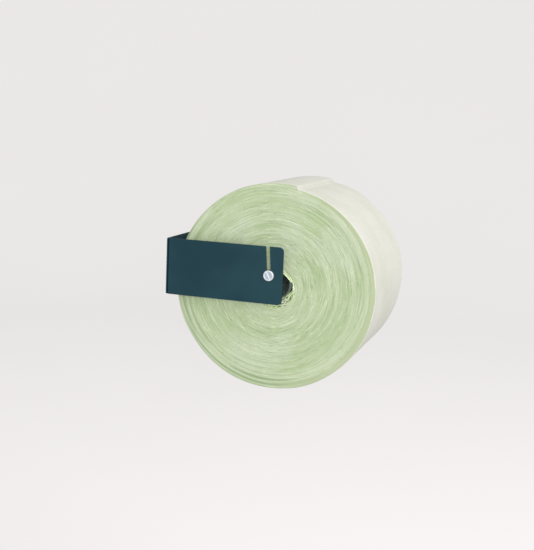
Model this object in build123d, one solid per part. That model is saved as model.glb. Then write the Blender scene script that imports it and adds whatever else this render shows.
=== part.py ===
"""Paper roll holder for a perforated panel, with its roll.

A sheet-steel holder hooks into a panel with 10 mm square holes at 38 mm pitch. Two arms stand out
from its back plate, and a lift-out spindle lies in a slot in each arm. A large roll of wiping paper
hangs on the spindle by its cardboard core.

Frame: +Z up, origin at the centre of the back plate's rear face, which lies on the panel.
X runs along the spindle, and the arms reach out along -Y. All sizes are in millimetres.
"""

import math
import os

from build123d import *

# Driving dimensions: holder
SHEET = 2.0  # thickness of the back plate and arms
HOLDER_HEIGHT = 105.0
INNER_WIDTH = 290.0  # between the arms' inner faces
ARM_REACH = 226.5  # panel face to the arms' free ends
CORNER_RADIUS = 8.5
BEND_RADIUS = 4.0  # outside radius of the arm's bend
FLANGE_WIDTH = 26.0
SMALL_CORNER = 3.0  # corners of the plate and flanges

# Driving dimensions: spindle seat
AXLE_REACH = 200.5  # panel face to the spindle's axis
AXLE_HEIGHT = 0.0
SLOT_WIDTH = 7.4
SLOT_LEAN = 4.5  # degrees, the slot's mouth lies nearer the panel than its seat

# Driving dimensions: rivets
RIVET_RADIUS = 1.6
RIVET_HEAD_RADIUS = 3.0
RIVET_HEAD_TOP = 1.8
RIVET_HEAD_HEIGHT = 1.1
ARM_RIVET_EDGE = 10.0  # from the arm's outer face to the first column
ARM_RIVET_STEP = 10.0  # between the two columns
ARM_RIVET_HEIGHTS = (14.0, 40.0)  # above and below the middle

# Driving dimensions: panel grid and hooks
PITCH = 38.0  # spacing of the panel's holes
PANEL_SPACE = 2.0  # between the plate and a hook's hanging leg
PANEL_HOLE = 10.0
HOOK_X = 3 * PITCH
HOOK_Z = PITCH
HOOK_WIDTH = 9.0
HOOK_THICKNESS = 2.0
HOOK_DROP = 6.5  # length of the leg behind the panel
HOOK_BASE = 26.0  # length of the leg on the plate's front
HOOK_BEND = 1.5
HOOK_RIVETS = (5.0, 15.0)  # from the base's end
HOOK_SLOT_GAP = 0.2  # all round a hook in the plate
SCREW_HOLE_X = 2 * PITCH
SCREW_HOLE_Z = PITCH
SCREW_HOLE_RADIUS = 2.75

# Driving dimensions: lock pins
LOCK_X = PITCH
SLEEVE_RADIUS = 4.85
SLEEVE_LENGTH = 7.0  # behind the plate
SLEEVE_FLANGE_RADIUS = 7.0
SLEEVE_FLANGE = 1.5
SLEEVE_EDGE = 0.6
SLEEVE_POINT = 1.2
SLEEVE_SPLIT = 1.2  # width of the split that lets it spread
SPLIT_START = 0.5  # behind the plate
PIN_RADIUS = 2.25
PIN_LENGTH = 6.0  # behind the plate
PIN_HEAD_RADIUS = 4.5
PIN_HEAD = 1.5
PIN_EDGE = 0.5

# Driving dimensions: spindle
TUBE_RADIUS = 9.0
TUBE_WALL = 1.5
TUBE_EDGE = 0.4
PLUG_LENGTH = 20.0
SHOULDER_RADIUS = 2.7
THREAD_RADIUS = 2.4
THREAD_LENGTH = 14.0
THREAD_SPACE = 2.0  # empty depth beyond the thread's end
HEAD_RADIUS = 9.75
HEAD_HEIGHT = 3.6
HEAD_EDGE = 0.9
DRIVER_SLOT_WIDTH = 2.2
DRIVER_SLOT_DEPTH = 1.5
DRIVER_SLOT_TURN = 62.0  # degrees
WASHER_THICKNESS = 1.0
WASHER_RADIUS = 10.0
END_PLAY = 0.4  # on each side of an arm

# Driving dimensions: roll
ROLL_LENGTH = 260.0
ROLL_RADIUS = 189.5
SHEET_LAYER = 3.0  # the last plies, as one layer
LAST_SHEET_LENGTH = 380.0
LOOSE_END_ANGLE = 80.0  # degrees above the forward horizontal
PAPER_SAG = 4.5  # the paper's axis lies below the core's, because its inner plies are loose
CORE_RADIUS = 27.5  # inside the cardboard tube
CORE_WALL = 2.5
CORE_RECESS = 5.0  # the core ends inside the paper's faces
HANG_ANGLE = 10.0  # degrees, the paper's pull and the core's friction hold the roll a little forward

HANG_CLEARANCE = 0.3  # between curved faces of pieces that move
FIT = 0.05  # radial clearance of a running fit
PRESS = 0.025  # radial clearance of a fixed fit

# Worked out
ARM_INNER_X = INNER_WIDTH / 2
ARM_OUTER_X = ARM_INNER_X + SHEET
WASHER_OUTER_X = ARM_INNER_X - END_PLAY
TUBE_END_X = WASHER_OUTER_X - WASHER_THICKNESS
HEAD_INNER_X = ARM_OUTER_X + END_PLAY
HEAD_OUTER_X = HEAD_INNER_X + HEAD_HEIGHT
BORE_RADIUS = TUBE_RADIUS - TUBE_WALL
HANG_LENGTH = CORE_RADIUS - TUBE_RADIUS - HANG_CLEARANCE
CORE_HEIGHT = AXLE_HEIGHT - HANG_LENGTH * math.cos(math.radians(HANG_ANGLE))
PAPER_HEIGHT = CORE_HEIGHT - PAPER_SAG
ROLL_REACH = AXLE_REACH + HANG_LENGTH * math.sin(math.radians(HANG_ANGLE))
TOUCH = 0.01  # how near two numbers are for an edge to be taken as lying there
SIDES = {"left": -1, "right": 1}
LEVELS = {"upper": 1, "lower": -1}


def along_x(radius, x0, x1, y, z):
    """A round bar along X from x0 to x1, with its axis at (y, z)."""
    middle = Location(((x0 + x1) / 2, y, z), (0, 90, 0))
    return middle * Cylinder(radius, abs(x1 - x0))


def along_y(radius, y0, y1, x, z):
    """A round bar along Y from y0 to y1, with its axis at (x, z)."""
    middle = Location((x, (y0 + y1) / 2, z), (90, 0, 0))
    return middle * Cylinder(radius, abs(y1 - y0))


def on_axle(radius, x0, x1):
    """A round bar on the spindle's axis."""
    return along_x(radius, x0, x1, -AXLE_REACH, AXLE_HEIGHT)


def on_roll(radius, half_length, height):
    """A round bar below the spindle at one height, the same length each way."""
    return along_x(radius, -half_length, half_length, -ROLL_REACH, height)


def block(x0, x1, y0, y1, z0, z1):
    """A box between two corners."""
    centre = Location(((x0 + x1) / 2, (y0 + y1) / 2, (z0 + z1) / 2))
    return centre * Box(abs(x1 - x0), abs(y1 - y0), abs(z1 - z0))


def write(name, shape):
    """Writes one node's solids to parts/NAME.step."""
    export_step(shape, f"parts/{name}.step")


# Holder


def arm_rivet_places(side):
    """The centres (x, z) of one arm's four flange rivets, in two staggered columns."""
    first = ARM_OUTER_X - ARM_RIVET_EDGE
    inner, outer = ARM_RIVET_HEIGHTS
    columns = {inner: first - ARM_RIVET_STEP, outer: first}
    return [(side * x, sign * z) for z, x in columns.items() for sign in (-1, 1)]


def hook_slot_height(level):
    """Underside of a hook's leg through the panel: it rests on the hole's lower edge."""
    return level * HOOK_Z - PANEL_HOLE / 2


def hook_base_span(level):
    """Ends of a hook's base: the bases of the two rows point to each other."""
    underside = hook_slot_height(level)
    root = underside + HOOK_THICKNESS if level > 0 else underside
    return root, root - level * HOOK_BASE


def hook_rivet_places(side, level):
    """The centres (x, z) of one hook's two rivets."""
    end = hook_base_span(level)[1]
    return [(side * HOOK_X, end + level * step) for step in HOOK_RIVETS]


def hook_opening(side, level):
    """The slot in the plate that one hook passes through."""
    x, z = side * HOOK_X, hook_slot_height(level)
    half = HOOK_WIDTH / 2 + HOOK_SLOT_GAP
    top = z + HOOK_THICKNESS + HOOK_SLOT_GAP
    return block(x - half, x + half, -SHEET, 0, z - HOOK_SLOT_GAP, top)


def back_plate():
    """The plate that lies on the panel, with its hook slots and fixing holes."""
    half = HOLDER_HEIGHT / 2
    plate = block(-ARM_OUTER_X, ARM_OUTER_X, -SHEET, 0, -half, half)
    plate = fillet(plate.edges().filter_by(Axis.Y), SMALL_CORNER)
    cuts = []
    for side in SIDES.values():
        rivets = arm_rivet_places(side)
        cuts.append(along_y(SLEEVE_RADIUS + FIT, -SHEET, 0, side * LOCK_X, 0))
        for level in LEVELS.values():
            rivets += hook_rivet_places(side, level)
            cuts.append(hook_opening(side, level))
            cuts.append(along_y(SCREW_HOLE_RADIUS, -SHEET, 0, side * SCREW_HOLE_X, level * SCREW_HOLE_Z))
        cuts += [along_y(RIVET_RADIUS, -SHEET, 0, x, z) for x, z in rivets]
    return plate - cuts


def arm_profile(side):
    """The L-shaped section of an arm, seen from above, drawn on the XY plane."""
    outer, inner, tip = ARM_OUTER_X, ARM_INNER_X, ARM_OUTER_X - FLANGE_WIDTH
    rear, front = -SHEET, -2 * SHEET
    bend_x, bend_y = outer - BEND_RADIUS, rear - BEND_RADIUS
    outer_bend = RadiusArc((outer, bend_y), (bend_x, rear), -BEND_RADIUS)
    inner_bend = RadiusArc((bend_x, front), (inner, bend_y), BEND_RADIUS - SHEET)
    flange = Polyline((bend_x, rear), (tip, rear), (tip, front), (bend_x, front))
    plate = Polyline((inner, bend_y), (inner, -ARM_REACH), (outer, -ARM_REACH), (outer, bend_y))
    face = make_face([outer_bend, flange, inner_bend, plate])
    return face if side > 0 else mirror(face, about=Plane.YZ)


def slot_cutter(side):
    """The space of the spindle's slot: a round seat, and straight sides that lean to the panel."""
    length = HOLDER_HEIGHT
    radius = SLOT_WIDTH / 2
    depth = 3 * SHEET
    seat_rise = radius - SHOULDER_RADIUS - HANG_CLEARANCE
    bottom = Location((0, 0, seat_rise), (0, 90, 0)) * Cylinder(radius, depth)
    sides = Location((0, 0, seat_rise + length / 2)) * Box(depth, SLOT_WIDTH, length)
    seat = Location((side * (ARM_INNER_X + SHEET / 2), -AXLE_REACH, AXLE_HEIGHT), (-SLOT_LEAN, 0, 0))
    return seat * (bottom + sides)


def arm(side):
    """One arm: a side plate with rounded free corners and a slot, bent from a riveted flange."""
    half = HOLDER_HEIGHT / 2
    body = extrude(Plane.XY.offset(-half) * arm_profile(side), HOLDER_HEIGHT)
    body = fillet(body.edges().filter_by(Axis.X).group_by(Axis.Y)[0], CORNER_RADIUS)
    flange_tip = side * (ARM_OUTER_X - FLANGE_WIDTH)
    along_flange = body.edges().filter_by(Axis.Y)
    corners = [edge for edge in along_flange if abs(edge.center().X - flange_tip) < TOUCH]
    body = fillet(corners, SMALL_CORNER)
    holes = [along_y(RIVET_RADIUS, -2 * SHEET, -SHEET, x, z) for x, z in arm_rivet_places(side)]
    return body - [slot_cutter(side)] - holes


def rivet(x, z, front):
    """A rivet through to the plate's rear face, flush there and headed in front."""
    on_its_base = (Align.CENTER, Align.CENTER, Align.MIN)
    head = Cone(RIVET_HEAD_RADIUS, RIVET_HEAD_TOP, RIVET_HEAD_HEIGHT, align=on_its_base)
    return along_y(RIVET_RADIUS - FIT, front, 0, x, z) + Location((x, front, z), (90, 0, 0)) * head


def arm_rivets(side):
    """The four rivets that hold one arm's flange to the plate."""
    return Compound([rivet(x, z, -2 * SHEET) for x, z in arm_rivet_places(side)])


def hook(side, level):
    """A panel hook: a base on the plate's front, a leg through the panel and a drop behind it."""
    x, underside = side * HOOK_X, hook_slot_height(level)
    x0, x1 = x - HOOK_WIDTH / 2, x + HOOK_WIDTH / 2
    top = underside + HOOK_THICKNESS
    tip = underside - HOOK_DROP
    front, back = -SHEET - HOOK_THICKNESS, PANEL_SPACE + HOOK_THICKNESS
    base = block(x0, x1, front, -SHEET, *hook_base_span(level))
    leg = block(x0, x1, front, back, underside, top)
    drop = block(x0, x1, PANEL_SPACE, back, tip, top)
    body = base + leg + drop
    along_width = body.edges().filter_by(Axis.X)
    rear_bend = along_width.group_by(Axis.Y)[-1].group_by(Axis.Z)[-1]
    front_bend = along_width.group_by(Axis.Y)[0].group_by(Axis.Z)[-1 if level > 0 else 0]
    body = fillet(rear_bend + front_bend, HOOK_BEND)
    tip_corners = [edge for edge in body.edges().filter_by(Axis.Y) if abs(edge.center().Z - tip) < TOUCH]
    body = chamfer(tip_corners, HOOK_BEND)
    return body - [along_y(RIVET_RADIUS, front, -SHEET, *place) for place in hook_rivet_places(side, level)]


def hook_rivets():
    """The rivets of all four hooks, as one group."""
    front = -SHEET - HOOK_THICKNESS
    places = []
    for side in SIDES.values():
        for level in LEVELS.values():
            places += hook_rivet_places(side, level)
    return Compound([rivet(x, z, front) for x, z in places])


# Lock pins


def lock_sleeve(side):
    """A nylon sleeve that plugs into a panel hole and keeps the hooks from lifting out."""
    x = side * LOCK_X
    front = -SHEET - SLEEVE_FLANGE
    flange = along_y(SLEEVE_FLANGE_RADIUS, front, -SHEET, x, 0)
    flange = fillet(flange.edges().group_by(Axis.Y)[0], SLEEVE_EDGE)
    shank = along_y(SLEEVE_RADIUS, -SHEET, SLEEVE_LENGTH, x, 0)
    shank = chamfer(shank.edges().group_by(Axis.Y)[-1], SLEEVE_POINT)
    bore = along_y(PIN_RADIUS + FIT, front, SLEEVE_LENGTH, x, 0)
    half = SLEEVE_SPLIT / 2
    split = block(x - PITCH / 2, x + PITCH / 2, SPLIT_START, SLEEVE_LENGTH, -half, half)
    return flange + shank - bore - split


def lock_pin(side):
    """The centre pin that spreads a lock sleeve."""
    x = side * LOCK_X
    rear = -SHEET - SLEEVE_FLANGE
    head = along_y(PIN_HEAD_RADIUS, rear - PIN_HEAD, rear, x, 0)
    head = fillet(head.edges().group_by(Axis.Y)[0], PIN_EDGE)
    shank = along_y(PIN_RADIUS, rear, PIN_LENGTH, x, 0)
    return head + chamfer(shank.edges().group_by(Axis.Y)[-1], PIN_EDGE)


# Spindle


def spindle_tube():
    """The steel tube that the roll hangs on."""
    outer = on_axle(TUBE_RADIUS, -TUBE_END_X, TUBE_END_X)
    outer = chamfer(outer.edges().filter_by(GeomType.CIRCLE), TUBE_EDGE)
    return outer - on_axle(BORE_RADIUS, -TUBE_END_X, TUBE_END_X)


def end_plug(side):
    """A plug pressed into the tube's end, tapped for the end screw."""
    end = side * TUBE_END_X
    plug = on_axle(BORE_RADIUS - PRESS, end - side * PLUG_LENGTH, end)
    return plug - on_axle(THREAD_RADIUS + PRESS, end - side * (THREAD_LENGTH + THREAD_SPACE), end)


def end_screw(side):
    """A slotted screw with a wide head; its shoulder runs in the arm's slot."""
    end, under_head, face = side * TUBE_END_X, side * HEAD_INNER_X, side * HEAD_OUTER_X
    head = on_axle(HEAD_RADIUS, under_head, face)
    rim = [edge for edge in head.edges().filter_by(GeomType.CIRCLE) if abs(edge.center().X - face) < TOUCH]
    head = chamfer(rim, HEAD_EDGE)
    shoulder = on_axle(SHOULDER_RADIUS, end, under_head)
    thread = on_axle(THREAD_RADIUS, end - side * THREAD_LENGTH, end)
    slot_middle = (face - side * DRIVER_SLOT_DEPTH / 2, -AXLE_REACH, AXLE_HEIGHT)
    slot_tool = Box(DRIVER_SLOT_DEPTH, DRIVER_SLOT_WIDTH, 3 * HEAD_RADIUS)
    return head + shoulder + thread - Location(slot_middle, (side * DRIVER_SLOT_TURN, 0, 0)) * slot_tool


def washer(side):
    """A nylon washer between the tube's end and the arm."""
    span = side * TUBE_END_X, side * WASHER_OUTER_X
    return on_axle(WASHER_RADIUS, *span) - on_axle(SHOULDER_RADIUS + FIT, *span)


# Roll


def roll_core():
    """The cardboard tube that the paper is wound on. It hangs from the spindle by its inside top."""
    half = ROLL_LENGTH / 2 - CORE_RECESS
    return on_roll(CORE_RADIUS + CORE_WALL, half, CORE_HEIGHT) - on_roll(CORE_RADIUS, half, CORE_HEIGHT)


def paper_roll():
    """The wound paper below the last sheet."""
    half = ROLL_LENGTH / 2
    wound = on_roll(ROLL_RADIUS - SHEET_LAYER, half, PAPER_HEIGHT)
    return wound - on_roll(CORE_RADIUS + CORE_WALL, half, CORE_HEIGHT)


def outer_sheet():
    """The last sheet: it starts behind the roll, comes over the top and ends there, loose."""
    sweep = math.degrees(LAST_SHEET_LENGTH / ROLL_RADIUS)
    start = 180 - LOOSE_END_ANGLE - sweep
    outer_arc = CenterArc((0, 0), ROLL_RADIUS, start, sweep)
    inner_arc = CenterArc((0, 0), ROLL_RADIUS - SHEET_LAYER, start, sweep)
    ends = [Line(outer_arc @ 0, inner_arc @ 0), Line(outer_arc @ 1, inner_arc @ 1)]
    band = make_face([outer_arc, inner_arc] + ends)
    sheet = extrude(Plane.YZ * band, ROLL_LENGTH / 2, both=True)
    return Location((0, -ROLL_REACH, PAPER_HEIGHT)) * sheet


def main():
    """Writes every node."""
    os.makedirs("parts", exist_ok=True)
    write("back_plate", back_plate())
    write("hook_rivets", hook_rivets())
    for name, side in SIDES.items():
        write(f"arm_{name}", arm(side))
        write(f"arm_rivets_{name}", arm_rivets(side))
        write(f"lock_sleeve_{name}", lock_sleeve(side))
        write(f"lock_pin_{name}", lock_pin(side))
        write(f"end_plug_{name}", end_plug(side))
        write(f"end_screw_{name}", end_screw(side))
        write(f"washer_{name}", washer(side))
        for row, level in LEVELS.items():
            write(f"hook_{row}_{name}", hook(side, level))
    write("spindle_tube", spindle_tube())
    write("roll_core", roll_core())
    write("paper_roll", paper_roll())
    write("outer_sheet", outer_sheet())


main()
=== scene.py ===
"""Looks of a panel-mounted paper roll holder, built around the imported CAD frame.

The mounting plate, the bent arms, the end screws, the paper roll with its last sheet and loose
inner plies, and the core are modelled here. The other CAD nodes keep their shape and get a
finish. Sizes are in metres.
"""

import logging
import math
import random
from collections.abc import Callable, Iterator, Sequence
from contextlib import contextmanager
from dataclasses import dataclass
from enum import Enum

import bmesh
import bpy
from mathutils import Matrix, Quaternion, Vector, noise


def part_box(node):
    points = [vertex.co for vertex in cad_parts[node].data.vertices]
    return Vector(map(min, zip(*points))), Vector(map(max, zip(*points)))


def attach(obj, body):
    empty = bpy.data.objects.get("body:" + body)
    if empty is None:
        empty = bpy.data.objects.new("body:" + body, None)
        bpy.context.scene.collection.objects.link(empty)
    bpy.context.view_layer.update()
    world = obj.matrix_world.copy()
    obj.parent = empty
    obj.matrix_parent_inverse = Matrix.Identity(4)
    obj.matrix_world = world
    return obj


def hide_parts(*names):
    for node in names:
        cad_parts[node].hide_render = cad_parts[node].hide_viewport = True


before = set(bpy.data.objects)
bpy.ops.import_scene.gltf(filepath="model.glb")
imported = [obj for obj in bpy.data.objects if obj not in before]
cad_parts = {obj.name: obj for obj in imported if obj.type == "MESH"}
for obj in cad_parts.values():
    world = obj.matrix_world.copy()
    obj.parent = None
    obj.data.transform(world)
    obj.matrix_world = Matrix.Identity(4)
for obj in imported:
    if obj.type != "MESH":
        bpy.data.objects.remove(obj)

LOG = logging.getLogger("roll_holder")
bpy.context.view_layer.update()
MM = 0.001
TOUCH = 2e-5  # how near two places are to be taken as the same

Point = tuple[float, float, float]
Spot = tuple[float, float]  # y and z
Colour = tuple[float, float, float, float]
Piece, Material = bpy.types.Object, bpy.types.Material
Tree, Node, Socket = bpy.types.NodeTree, bpy.types.Node, bpy.types.NodeSocket


class Side(Enum):
    """The two ends of the holder, by the sign of X."""

    LEFT = -1
    RIGHT = 1

    @property
    def word(self) -> str:
        """The side's word in piece names."""
        return self.name.lower()


class Pick(Enum):
    """What a selection is made of."""

    VERTS = "VERT"
    EDGES = "EDGE"
    FACES = "FACE"


class Ends(Enum):
    """How a stack of rings is closed."""

    OPEN = "open"
    CAPPED = "capped"
    LOOP = "loop"


# Modelling


def clear() -> None:
    """Deselects every object."""
    bpy.ops.object.select_all(action="DESELECT")


def select_only(piece: Piece) -> None:
    """Selects one object and nothing else.

    Args:
        piece: the object.
    """
    clear()
    piece.select_set(True)
    bpy.context.view_layer.objects.active = piece


@contextmanager
def shaping(piece: Piece) -> Iterator[None]:
    """Holds one piece in edit mode.

    Args:
        piece: the mesh object to edit.
    """
    select_only(piece)
    bpy.ops.object.mode_set(mode="EDIT")
    try:
        yield
    finally:
        bpy.ops.object.mode_set(mode="OBJECT")


def take_all() -> None:
    """Selects the whole mesh, in edit mode."""
    bpy.ops.mesh.select_all(action="SELECT")


def pick(kind: Pick, test: Callable[[Vector], bool]) -> None:
    """Selects what has its middle where the test says, in edit mode.

    Args:
        kind: vertices, edges or faces.
        test: says whether a middle point is wanted.
    """
    bpy.ops.mesh.select_mode(type=kind.value)
    bpy.ops.mesh.select_all(action="DESELECT")
    mesh = bpy.context.object.data
    shape = bmesh.from_edit_mesh(mesh)
    items = {Pick.VERTS: shape.verts, Pick.EDGES: shape.edges, Pick.FACES: shape.faces}[kind]
    for item in items:
        corners = [item.co] if kind is Pick.VERTS else [v.co for v in item.verts]
        if test(sum(corners, Vector()) / len(corners)):
            item.select_set(True)
    shape.select_flush_mode()
    bmesh.update_edit_mesh(mesh)


def pull(x: float, y: float, z: float) -> None:
    """Extrudes the selection by a step, in edit mode."""
    bpy.ops.mesh.extrude_region_move(TRANSFORM_OT_translate={"value": (x, y, z)})


def round_corners(offset: float, segments: int) -> None:
    """Rounds the selected corners of a flat sheet, in edit mode."""
    bpy.ops.mesh.bevel(affect="VERTICES", offset=offset, segments=segments)


def sweep_round(steps: int, degrees: float, centre: Point, axis: Point = (1, 0, 0)) -> None:
    """Spins the selection about an axis, by the right-hand rule.

    The spin operator turns the other way when there is no window.

    Args:
        steps: how many steps the turn has.
        degrees: the turn.
        centre: a point on the axis.
        axis: the axis's direction.
    """
    bpy.ops.mesh.spin(steps=steps, angle=-math.radians(degrees), center=centre, axis=axis)


def near(a: float, b: float) -> bool:
    """Whether two lengths are the same to within the modelling tolerance."""
    return abs(a - b) < TOUCH


def settle(name: str) -> Piece:
    """Puts the new object's place, turn and scale in its mesh, and names it.

    Args:
        name: the piece's name.

    Returns:
        The object.
    """
    piece = bpy.context.object
    select_only(piece)
    bpy.ops.object.transform_apply(location=True, rotation=True, scale=True)
    piece.name = piece.data.name = name
    return piece


def face_outwards(piece: Piece) -> None:
    """Merges doubles and turns every face outwards.

    Args:
        piece: the mesh object.
    """
    with shaping(piece):
        take_all()
        bpy.ops.mesh.remove_doubles(threshold=TOUCH / 10)
        bpy.ops.mesh.normals_make_consistent(inside=False)


def smooth(piece: Piece, degrees: float) -> None:
    """Shades a piece smooth, apart from edges sharper than an angle."""
    select_only(piece)
    bpy.ops.object.shade_smooth_by_angle(angle=math.radians(degrees))


def smooth_sheet(piece: Piece, degrees: float) -> None:
    """Shades a piece with small bevels so that its large flat faces stay flat."""
    smooth(piece, degrees)
    apply(piece, "WEIGHTED_NORMAL", keep_sharp=True, weight=100)


def paint_edges(piece: Piece, width: float) -> None:
    """Marks the narrow faces that bevels leave, so that a finish can show wear and a painted
    highlight there.

    Args:
        piece: the mesh object.
        width: the greatest width of a face that counts as an edge.
    """
    mesh = piece.data
    # this attribute carries both edge wear and a painted edge highlight
    wear_and_highlight = mesh.attributes.new("edge_wear_and_highlight", "FLOAT", "FACE")
    for face in mesh.polygons:
        corners = [mesh.vertices[index].co for index in face.vertices]
        longest = max((a - b).length for a, b in zip(corners, corners[1:] + corners[:1]))
        wear_and_highlight.data[face.index].value = float(len(corners) <= 4 and face.area / longest < width)


def apply(piece: Piece, kind: str, **settings: object) -> None:
    """Adds a modifier to a piece and applies it.

    Args:
        piece: the mesh object.
        kind: the modifier's type.
        **settings: the modifier's properties.
    """
    select_only(piece)
    modifier = piece.modifiers.new(kind.title(), kind)
    for key, value in settings.items():
        setattr(modifier, key, value)
    bpy.ops.object.modifier_apply(modifier=modifier.name)


def thicken(piece: Piece, thickness: float) -> None:
    """Gives a sheet its thickness, half to each side."""
    apply(piece, "SOLIDIFY", thickness=thickness, offset=0.0)


def soften(piece: Piece, width: float, degrees: float) -> None:
    """Bevels the edges that are sharper than an angle."""
    limit = math.radians(degrees)
    apply(piece, "BEVEL", width=width, segments=2, limit_method="ANGLE", angle_limit=limit)


def cut(piece: Piece, cutter: Piece) -> None:
    """Takes a cutter's space out of a piece, and removes the cutter."""
    apply(piece, "BOOLEAN", operation="DIFFERENCE", object=cutter, solver="EXACT")
    bpy.data.objects.remove(cutter)


def reshape(piece: Piece, move: Callable[[Vector], Vector]) -> None:
    """Moves each vertex of a piece by a rule.

    Args:
        piece: the mesh object.
        move: gives a vertex's new place from its old one.
    """
    for vertex in piece.data.vertices:
        vertex.co = move(vertex.co.copy())
    piece.data.update()


def flip(piece: Piece) -> None:
    """Mirrors a piece's mesh from one end of the holder to the other."""
    reshape(piece, lambda place: Vector((-place.x, place.y, place.z)))


def turn(piece: Piece, degrees: float, centre: Point) -> None:
    """Turns a piece's mesh about an axis along X through a point."""
    spin, middle = Quaternion((1, 0, 0), math.radians(degrees)), Vector(centre)
    reshape(piece, lambda place: middle + spin @ (place - middle))


def both_ends(left: Piece) -> list[tuple[Side, Piece]]:
    """Copies the left piece to the other end, and turns both outwards.

    Args:
        left: the piece at the low side of X.

    Returns:
        Each side with its piece, which is named by the stem of the first and the side.
    """
    stem = left.name.removesuffix("_left")
    select_only(left)
    bpy.ops.object.duplicate()
    right = bpy.context.object
    flip(right)
    pairs = [(Side.LEFT, left), (Side.RIGHT, right)]
    for side, piece in pairs:
        piece.name = piece.data.name = f"{stem}_{side.word}"
        face_outwards(piece)
    return pairs


def polar(place: Vector, axis: Spot) -> tuple[float, float, float, float]:
    """Gives a place by its distance and direction from an axis along X.

    Args:
        place: the place.
        axis: the axis's y and z.

    Returns:
        The distance, the angle from +Y towards +Z, and the direction's y and z.
    """
    y, z = place.y - axis[0], place.z - axis[1]
    radius = math.hypot(y, z)
    return radius, math.atan2(z, y), y / radius, z / radius


def between(a: Spot, b: Spot, share: float) -> Spot:
    """The spot a share of the way from one to another."""
    return tuple(p + (q - p) * share for p, q in zip(a, b))


@dataclass(frozen=True)
class Ring:
    """One ring of a shape turned about an axis along X."""

    x: float
    radius: float
    centre: Spot


def ring_stack(name: str, rings: Sequence[Ring], segments: int, ends: Ends) -> Piece:
    """Builds a round piece by extruding and resizing one circle.

    Args:
        name: the piece's name.
        rings: the rings in order.
        segments: vertices in each ring.
        ends: how the shape is closed; for LOOP the last ring repeats the first.

    Returns:
        The new object, at the origin.
    """
    first = rings[0]
    clear()
    bpy.ops.mesh.primitive_circle_add(
        vertices=segments,
        radius=first.radius,
        fill_type="NGON" if ends is Ends.CAPPED else "NOTHING",
        location=(first.x, *first.centre),
        rotation=(0, math.pi / 2, 0),
    )
    piece = settle(name)
    with shaping(piece):
        take_all()
        for last, ring in zip(rings, rings[1:]):
            (y, z), (last_y, last_z) = ring.centre, last.centre
            pull(ring.x - last.x, y - last_y, z - last_z)
            scale = ring.radius / last.radius
            bpy.ops.transform.resize(value=(1, scale, scale), center_override=(ring.x, y, z))
    if ends is not Ends.OPEN:
        face_outwards(piece)
    return piece


def bar(name: str, low: Point, high: Point) -> Piece:
    """Adds a block between two corners, for use as a cutter.

    Args:
        name: the block's name.
        low: its lowest corner.
        high: its highest corner.

    Returns:
        The new object, at the origin.
    """
    middle = [(a + b) / 2 for a, b in zip(low, high)]
    size = [b - a for a, b in zip(low, high)]
    clear()
    bpy.ops.mesh.primitive_cube_add(size=1, location=middle, scale=size)
    return settle(name)


# Finishes


def srgb(red: float, green: float, blue: float) -> Colour:
    """Turns display values up to 255 into a linear colour with full alpha."""
    linear = [((v / 255 + 0.055) / 1.055) ** 2.4 for v in (red, green, blue)]
    return (*linear, 1.0)


class Wiring:
    """Adds and joins the nodes of one material or group."""

    def __init__(self, tree: Tree) -> None:
        """Starts on a tree of nodes."""
        self.tree = tree

    def add(self, kind: str, settings: dict[str, object] | None = None, **inputs: object) -> Node:
        """Adds a node and fills or joins its inputs.

        Args:
            kind: the node's type.
            settings: the node's properties.
            **inputs: values or sockets by input name, with _ for a space.

        Returns:
            The new node.
        """
        node = self.tree.nodes.new(kind)
        for key, value in (settings or {}).items():
            setattr(node, key, value)
        for key, value in inputs.items():
            self.feed(node.inputs[key.replace("_", " ")], value)
        return node

    def feed(self, socket: Socket, value: object) -> None:
        """Gives an input a value, or joins a socket to it.

        Args:
            socket: the input.
            value: a value or a socket.
        """
        if isinstance(value, Socket):
            self.tree.links.new(value, socket)
        else:
            socket.default_value = value

    def math(self, operation: str, *values: object) -> Socket:
        """Adds a Math node.

        Args:
            operation: what it does.
            *values: values or sockets.

        Returns:
            Its result.
        """
        node = self.add("ShaderNodeMath", {"operation": operation})
        for socket, value in zip(node.inputs, values):
            self.feed(socket, value)
        return node.outputs[0]

    def times(self, a: object, b: object) -> Socket:
        """Multiplies two values."""
        return self.math("MULTIPLY", a, b)

    def radius(self, y: Socket, z: Socket) -> Socket:
        """The distance from the axis along X."""
        return self.math("SQRT", self.math("ADD", self.times(y, y), self.times(z, z)))

    def span(self, value: object, low: float, high: float) -> Socket:
        """Maps a span of values smoothly to 0 to 1.

        Args:
            value: what is mapped.
            low: the value that gives 0.
            high: the value that gives 1.

        Returns:
            The mapped value.
        """
        kind = {"interpolation_type": "SMOOTHSTEP"}
        ends = {"Value": value, "From_Min": low, "From_Max": high}
        return self.add("ShaderNodeMapRange", kind, **ends).outputs[0]

    def contour(self, value: Socket, level: float, far: float, close: float) -> Socket:
        """Marks thin lines where a value comes close to a level."""
        return self.span(self.math("ABSOLUTE", self.math("SUBTRACT", value, level)), far, close)

    def mix(self, factor: object, a: object, b: object) -> Socket:
        """Mixes two colours.

        Args:
            factor: the share of the second colour.
            a: the first colour.
            b: the second colour.

        Returns:
            The mixed colour.
        """
        node = self.add("ShaderNodeMix", {"data_type": "RGBA"})
        for index, value in ((0, factor), (6, a), (7, b)):
            self.feed(node.inputs[index], value)
        return node.outputs[2]

    def lay(self, tone: Socket, *layers: tuple[Socket, float, Colour]) -> Socket:
        """Lays colours over a tone.

        Args:
            tone: the colour underneath.
            *layers: for each, its mask, the mask's strength and its colour.

        Returns:
            The colour on top.
        """
        for mask, strength, colour in layers:
            tone = self.mix(self.times(mask, strength), tone, colour)
        return tone

    def axes(self, vector: Socket) -> tuple[Socket, ...]:
        """Splits a vector into its X, Y and Z."""
        return tuple(self.add("ShaderNodeSeparateXYZ", Vector=vector).outputs)

    def noise(self, vector: object, scale: object, detail: object = 2.0) -> Socket:
        """Adds a noise and returns its value."""
        return self.add("ShaderNodeTexNoise", Vector=vector, Scale=scale, Detail=detail).outputs[0]


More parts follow.
